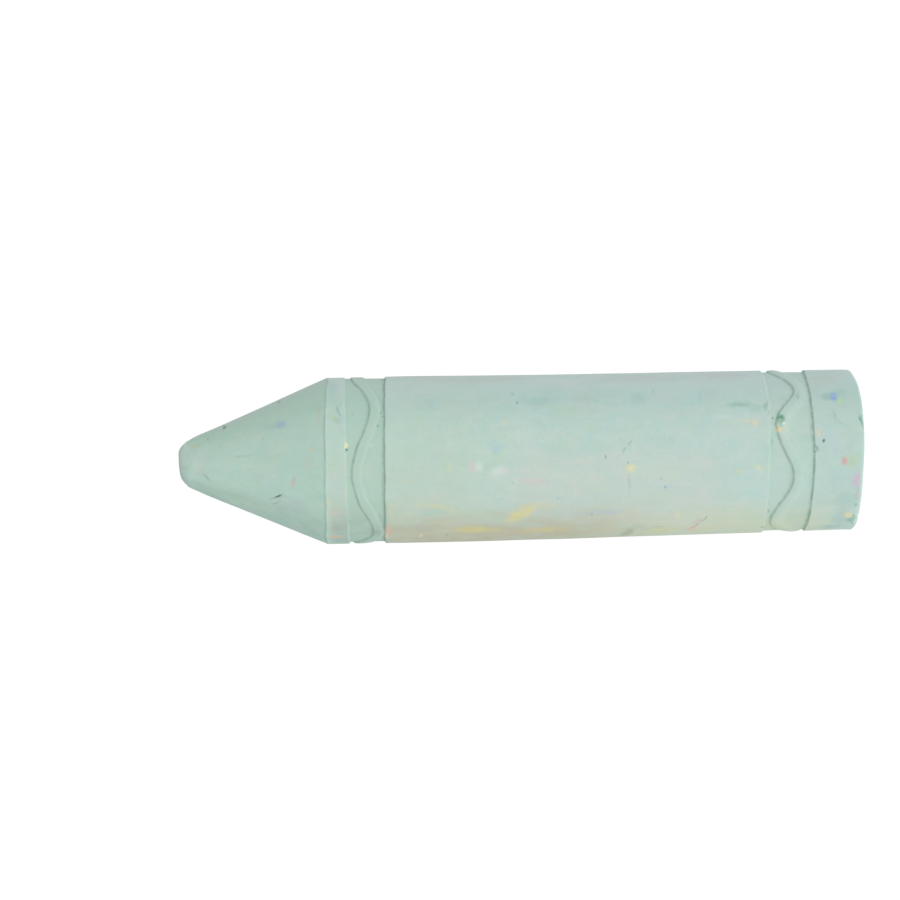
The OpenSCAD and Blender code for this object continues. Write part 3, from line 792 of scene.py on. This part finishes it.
degrees = t.math("MULTIPLY", angle, 180 / math.pi)
patchy = t.ramp(t.noise(t.stretch(P, (0.5, 0.5, 0.22)), 1.0, 3.0, 0.6), 0.30, 0.64, 0.62, 1.0)
uneven = t.math("MULTIPLY_ADD", t.noise(t.stretch(P, (0.22, 0.22, 0.12)), 1.0, 3.0, 0.6), 26.0, t.math("ADD", degrees, -13.0))
for (a0, a1, a2, a3), (z0, z1, z2, z3), rgb, strength in WASHES:
    round_it = t.math("MULTIPLY", t.ramp(uneven, a0, a1), t.ramp(uneven, a3, a2))
    up_it = t.math("MULTIPLY", t.ramp(z, z0, z1), t.ramp(z, z3, z2, 0.0, strength))
    mask = t.math("MULTIPLY", t.math("MULTIPLY", round_it, up_it), patchy)
    colour = t.mix(mask, colour, srgb(*rgb))

wear_shade_node = t.node("ShaderNodeAttribute", attribute_name="wear_and_shade", attribute_type="GEOMETRY")
wear_shade_rgb = t.node("ShaderNodeSeparateColor", {0: wear_shade_node.outputs["Color"]})
painted_corner_shade, worn_lit_edge, sunk = wear_shade_rgb.outputs
colour = t.mix(t.math("MULTIPLY", sunk, t.ramp(z, 30, 60, 0.20, 0.50)), colour, srgb(172, 205, 189))
# paler exposed edges: rubbed wear, and a painted highlight on the walls that face the butt
worn_lit_mask = t.math("MULTIPLY", worn_lit_edge, t.ramp(t.noise(P, 0.8, 3.0, 0.6), 0.35, 0.65, 0.12, 0.45))
colour = t.mix(worn_lit_mask, colour, srgb(206, 223, 215))
# painted shade: a dark green-grey line in the corners at the foot of walls that face the tip
corner_shade_mask = t.math("MULTIPLY", painted_corner_shade, t.ramp(t.noise(P, 0.9, 3.0, 0.6), 0.30, 0.62, 0.25, 0.75))
colour = t.mix(corner_shade_mask, colour, srgb(138, 172, 158))

# Rubbed-on colour sits on the high spots, so it is patchy
catch = t.ramp(t.noise(t.stretch(P, (1.6, 1.6, 0.8)), 1.0, 3.0, 0.65), 0.30, 0.60, 0.45, 1.0)
jagged = t.vec("ADD", t.vec("ADD", flat, t.vec("SCALE", shake, scale=0.30)), shake_fine)
pit_shade_at = t.vec("ADD", flat, t.vec("SCALE", shake_fine, scale=0.5))
pit_shade_sum = None
for kind, at_place, grow, outer, inner in (
        (SMEARS_AND_SHADE, ragged, 1.35, 1.05, 0.25), (SPOTS, jagged, 1.20, 1.15, 0.30),
        (SCRATCHES, jagged, 1.20, 1.05, 0.35), (PIT_SHADES, pit_shade_at, 1.15, 1.20, 0.35)):
    for at, height, long, wide, turn, rgb, strength in kind:
        far = t.ellipse(at_place, (math.radians(at) * 12.6, height), (wide * grow, long * grow), turn)
        mask = t.ramp(far, outer, inner, 0.0, strength)
        if kind is SMEARS_AND_SHADE:
            mask = t.math("MULTIPLY", mask, catch)
        if kind is PIT_SHADES:
            pit_shade_sum = mask if pit_shade_sum is None else t.math("MAXIMUM", pit_shade_sum, mask)
        colour = t.mix(mask, colour, srgb(*rgb))
# the pits' painted shade, darker still
colour = t.mix(t.math("MULTIPLY", pit_shade_sum, 0.15), colour, srgb(110, 138, 130))

# Powdery roughness, and relief too fine for the mesh
rough = t.ramp(t.noise(P, 1.6, 3.0, 0.6), 0.3, 0.7, 0.86, 0.97)
fine = t.noise(P, 7.0, 3.0, 0.65)
coarse = t.noise(t.stretch(P, (1.5, 1.5, 0.7)), 1.0, 3.0, 0.6)
pits = t.node("ShaderNodeTexVoronoi", {"Vector": P, "Scale": 0.85, "Randomness": 1.0}, feature="F1")
pit_size = t.math("MULTIPLY", t.node("ShaderNodeSeparateColor", {0: pits.outputs["Color"]}).outputs[0], 0.16)
pit = t.math("DIVIDE", pits.outputs["Distance"], t.math("ADD", pit_size, 0.01))
pit = t.ramp(pit, 0.5, 1.1)
height_sum = t.math("ADD", t.math("MULTIPLY", fine, 0.012), t.math("MULTIPLY", coarse, 0.030))
height_sum = t.math("ADD", height_sum, t.math("MULTIPLY", pit, 0.020))
bump = t.node("ShaderNodeBump", {"Strength": 1.0, "Distance": 0.001, "Height": height_sum})

shader = t.node("ShaderNodeBsdfPrincipled", {
    "Base Color": colour, "Roughness": rough, "Normal": bump.outputs["Normal"],
    "Specular IOR Level": 0.18, "IOR": 1.5})
out = t.node("ShaderNodeOutputMaterial", {"Surface": shader.outputs[0]})
mesh.materials.append(mat)

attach(chalk, "root")
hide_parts(NODE)

# ------------------------------------------------------- floor and light
floor_mesh = bpy.data.meshes.new("floor")
ring = [(3.0 * math.cos(a), 3.0 * math.sin(a), -0.00003) for a in np.linspace(0, 2 * math.pi, 97)[:-1]]
floor_mesh.from_pydata(ring, [], [tuple(range(96))])
floor = bpy.data.objects.new("floor", floor_mesh)
bpy.context.scene.collection.objects.link(floor)
floor_mat = bpy.data.materials.new("floor")
t = Tree(floor_mat)
glow = t.node("ShaderNodeEmission", {"Color": (1.0, 1.0, 1.0, 1.0), "Strength": 0.90})
matt = t.node("ShaderNodeBsdfDiffuse", {"Color": (0.22, 0.22, 0.22, 1.0)})
both = t.node("ShaderNodeAddShader", {0: glow.outputs[0], 1: matt.outputs[0]})
t.node("ShaderNodeOutputMaterial", {"Surface": both.outputs[0]})
floor_mesh.materials.append(floor_mat)

world = bpy.data.worlds.new("world")
bpy.context.scene.world = world
t = Tree(world)
path = t.node("ShaderNodeLightPath")
seen = t.node("ShaderNodeBackground", {"Color": (1.0, 1.0, 1.0, 1.0), "Strength": 1.02})
lit = t.node("ShaderNodeBackground", {"Color": (1.0, 1.0, 1.0, 1.0), "Strength": 0.54})
mixed = t.node("ShaderNodeMixShader", {0: path.outputs["Is Camera Ray"], 1: lit.outputs[0], 2: seen.outputs[0]})
t.node("ShaderNodeOutputWorld", {"Surface": mixed.outputs[0]})


def softbox(name, place, aim_at, size, power):
    data = bpy.data.lights.new(name, "AREA")
    data.shape, data.size, data.size_y = "RECTANGLE", size[0], size[1]
    data.energy = power
    ob = bpy.data.objects.new(name, data)
    bpy.context.scene.collection.objects.link(ob)
    ob.location = place
    ob.rotation_mode = "QUATERNION"
    ob.rotation_quaternion = (Vector(aim_at) - Vector(place)).to_track_quat("-Z", "Y")
    return ob


softbox("key", (-0.24, -0.95, 0.20), (0.0, 0.0, 0.05), (0.6, 0.5), 2.3)

bpy.context.scene.view_settings.view_transform = "Standard"
bpy.context.scene.view_settings.look = "None"
bpy.context.scene.view_settings.exposure = 0.0
bpy.context.scene.view_settings.gamma = 1.0

bpy.context.view_layer.update()
